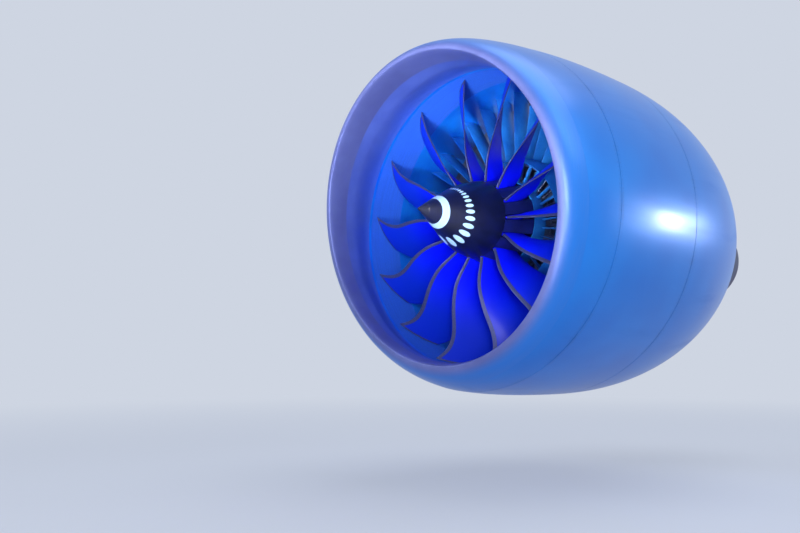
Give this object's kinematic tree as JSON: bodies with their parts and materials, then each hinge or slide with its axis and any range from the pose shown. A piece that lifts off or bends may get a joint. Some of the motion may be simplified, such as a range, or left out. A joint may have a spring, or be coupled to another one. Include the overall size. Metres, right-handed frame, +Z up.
{
  "type": "turbofan jet engine",
  "caption": "High-bypass turbofan in a smooth nacelle, with swept fan blades, a conical spinner, hinged fan cowl doors and a pylon slot on top.",
  "frame": {"origin": "on the engine's axis, midway between the front of the lip and the end of the exhaust plug", "axes": "+Y along the axis towards the exhaust, +Z up towards the pylon, +X to the right seen from the front looking aft"},
  "size_m": [4.2198, 7.8356, 4.2199],
  "materials": {
    "lip_satin": "satin, fine brushed",
    "nacelle_paint": "pearl satin paint, pale blue",
    "frame_metal": "machined titanium",
    "case_finish": "glossy dark blue composite",
    "liner_rubber": "abradable filler",
    "vane_metal": "satin, blue tinted",
    "steel": "machined steel",
    "hot_alloy": "heat tinted alloy",
    "injector_brass": "machined",
    "core_skin": "satin",
    "tank_finish": "satin grey paint",
    "spinner_black": "semi gloss black",
    "blade_blue": "deep blue, satin"
  },
  "bodies": {
    "engine_static": {"inlet_lip": "lip_satin", "inlet_outer_skin": "nacelle_paint", "inlet_inner_barrel": "lip_satin", "inlet_front_bulkhead": "frame_metal", "inlet_rear_bulkhead": "frame_metal", "fan_case": "case_finish", "fan_track_liner": "liner_rubber", "outlet_guide_vanes": "vane_metal", "fan_frame": "frame_metal", "flow_splitter": "vane_metal", "core_inlet_vanes": "vane_metal", "booster_case": "frame_metal", "compressor_case": "frame_metal", "combustion_case": "steel", "combustor_liner": "hot_alloy", "fuel_injectors": "injector_brass", "turbine_case": "hot_alloy", "turbine_rear_frame": "hot_alloy", "core_nozzle": "hot_alloy", "exhaust_plug": "hot_alloy", "core_cowl_left": "core_skin", "core_cowl_right": "core_skin", "duct_front_ring": "frame_metal", "duct_left": "nacelle_paint", "duct_right": "nacelle_paint", "cowl_hinge_beam": "nacelle_paint", "accessory_gearbox": "steel", "starter_generator": "steel", "fuel_pump": "injector_brass", "oil_tank": "tank_finish", "engine_controller": "tank_finish", "front_mount": "steel", "rear_mount": "steel", "shaft_bearings": "steel"},
    "low_spool": {"spinner_tip": "spinner_black", "spinner": "spinner_black", "annulus_fillers": "spinner_black", "fan_disc": "frame_metal", "fan_blade_01": "blade_blue", "fan_blade_02": "blade_blue", "fan_blade_03": "blade_blue", "fan_blade_04": "blade_blue", "fan_blade_05": "blade_blue", "fan_blade_06": "blade_blue", "fan_blade_07": "blade_blue", "fan_blade_08": "blade_blue", "fan_blade_09": "blade_blue", "fan_blade_10": "blade_blue", "fan_blade_11": "blade_blue", "fan_blade_12": "blade_blue", "fan_blade_13": "blade_blue", "fan_blade_14": "blade_blue", "low_spool_shaft": "steel", "booster_rotor": "frame_metal", "low_turbine_rotor": "hot_alloy"},
    "high_spool": {"core_compressor_rotor": "frame_metal", "core_turbine_rotor": "hot_alloy"},
    "door_left": {"fan_cowl_left": "nacelle_paint"},
    "door_right": {"fan_cowl_right": "nacelle_paint"}
  },
  "joints": [
    {"name": "low_spool_spin", "type": "hinge", "parent": "engine_static", "child": "low_spool", "pos_m": [0, -2.65822, 0], "axis": [0, 1, 0], "continuous": true},
    {"name": "high_spool_spin", "type": "hinge", "parent": "engine_static", "child": "high_spool", "pos_m": [0, -0.58222, 0], "axis": [0, 1, 0], "continuous": true},
    {"name": "door_left_open", "type": "hinge", "parent": "engine_static", "child": "door_left", "pos_m": [-0.3, -2.97622, 2.00525], "axis": [0, 0.9989, 0.0459], "range_deg": [0, 45]},
    {"name": "door_right_open", "type": "hinge", "parent": "engine_static", "child": "door_right", "pos_m": [0.3, -2.97622, 2.00525], "axis": [0, -0.9989, -0.0459], "range_deg": [0, 45]}
  ]
}
